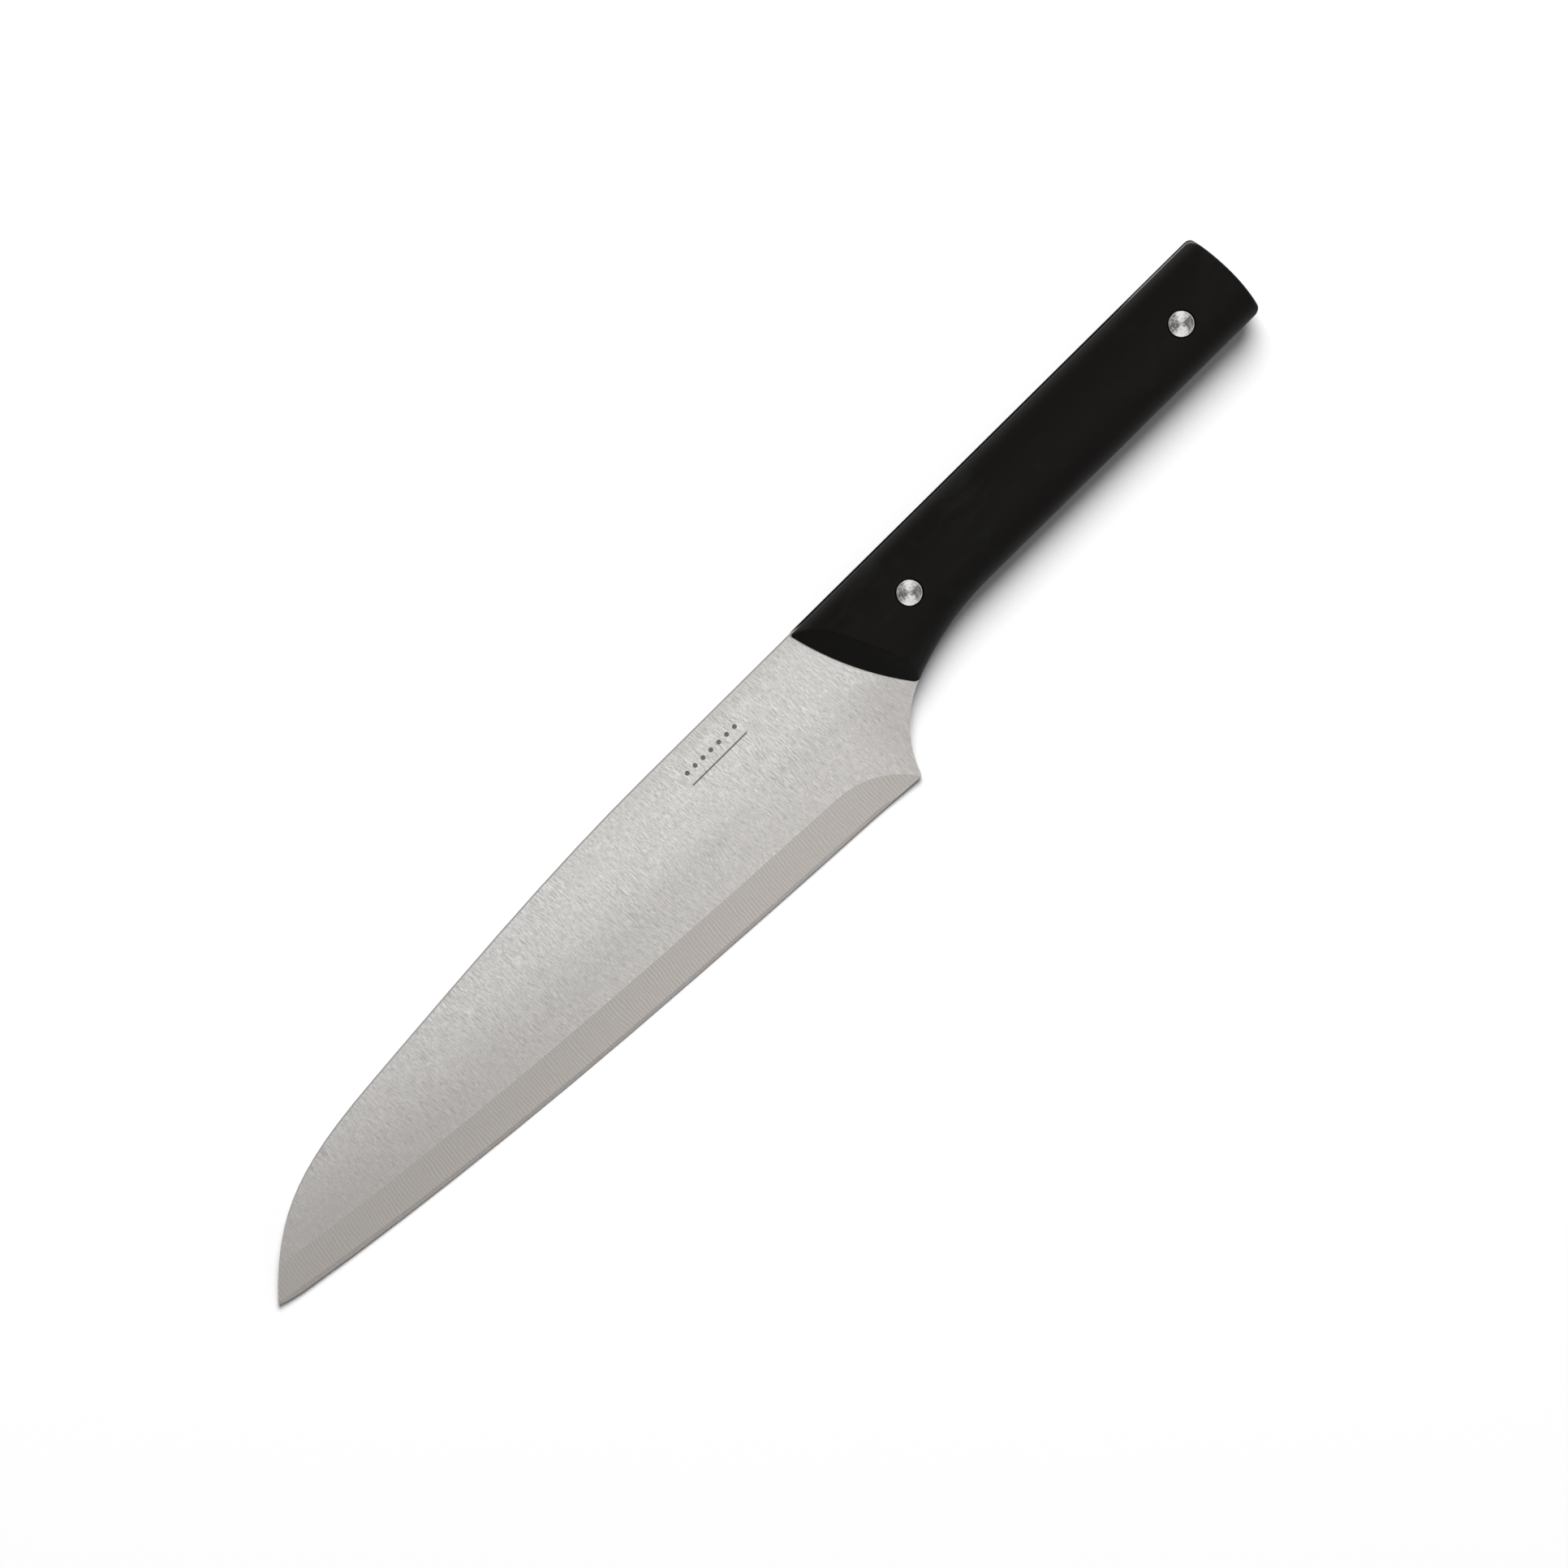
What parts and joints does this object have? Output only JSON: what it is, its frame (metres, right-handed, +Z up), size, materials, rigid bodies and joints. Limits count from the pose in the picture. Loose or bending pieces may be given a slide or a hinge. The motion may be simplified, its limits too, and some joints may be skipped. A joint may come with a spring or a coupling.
{
  "type": "chef knife",
  "caption": "Chef's knife: a ground, brushed steel blade with a full tang between two riveted black scales, for slicing and chopping food by hand.",
  "frame": {"origin": "on the table, under the middle of the bounding box. The knife lies on its right side, as in the picture: its cutting edge and its right scale are on the table", "axes": "+X along the knife from the tip to the butt, +Y across it from the cutting edge to the spine, +Z up from the table. The left face of the blade is up, leaning 12.65 degrees towards the edge, and the tip is 1 degree down"},
  "size_m": [0.3438, 0.0478, 0.0199],
  "materials": {
    "blade_steel": "stainless steel, brushed across the blade from spine to edge, with a finer ground bevel",
    "black_scale": "satin black moulded polymer",
    "rivet_steel": "turned stainless steel"
  },
  "bodies": {
    "root": {"blade_with_tang": "blade_steel", "left_scale": "black_scale", "right_scale": "black_scale", "front_rivet_male": "rivet_steel", "front_rivet_female": "rivet_steel", "rear_rivet_male": "rivet_steel", "rear_rivet_female": "rivet_steel"}
  },
  "joints": []
}
